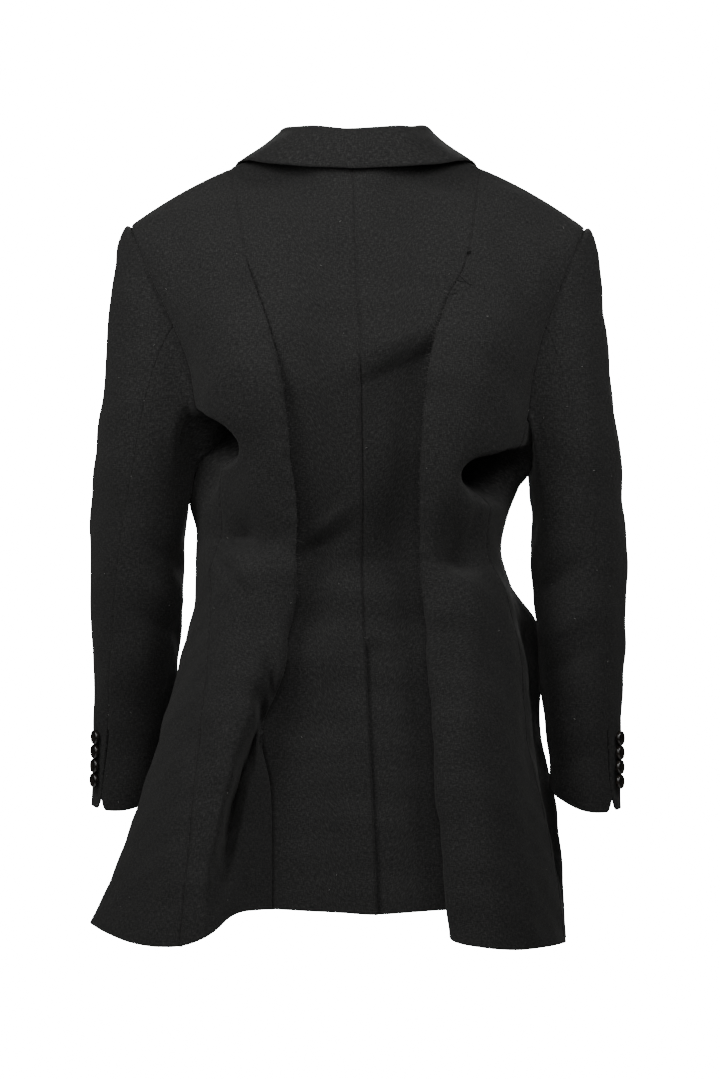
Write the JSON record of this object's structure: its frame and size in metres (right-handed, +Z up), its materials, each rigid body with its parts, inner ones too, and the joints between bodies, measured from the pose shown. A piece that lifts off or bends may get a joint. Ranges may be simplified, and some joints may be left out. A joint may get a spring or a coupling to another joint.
{
  "type": "deconstructed blazer",
  "caption": "Tailored wool blazer, worn but empty, with side-back panels whose raw edges hang loose over a recessed centre back; a hollow top layer worn over the shoulders.",
  "frame": {"origin": "middle of the neck opening at the height of the shoulder seams, where the shoulders hold it", "axes": "+Z up, +Y towards the wearer's front, +X towards the wearer's right; the back faces -Y"},
  "size_m": [0.5406, 0.3855, 0.8206],
  "materials": {
    "black_wool": "matt black wool suiting with a fine plain weave and a slight nap",
    "black_button": "polished black sew-through buttons"
  },
  "bodies": {
    "root": {"collar": "black_wool", "back_centre_left": "black_wool", "back_side_left": "black_wool", "side_left": "black_wool", "front_left": "black_wool", "lapel_left": "black_wool", "sleeve_top_left": "black_wool", "sleeve_under_left": "black_wool", "back_centre_right": "black_wool", "back_side_right": "black_wool", "side_right": "black_wool", "front_right": "black_wool", "lapel_right": "black_wool", "sleeve_top_right": "black_wool", "sleeve_under_right": "black_wool", "front_button": "black_button", "cuff_button_left_1": "black_button", "cuff_button_left_2": "black_button", "cuff_button_left_3": "black_button", "cuff_button_left_4": "black_button", "cuff_button_right_1": "black_button", "cuff_button_right_2": "black_button", "cuff_button_right_3": "black_button", "cuff_button_right_4": "black_button"}
  },
  "joints": []
}
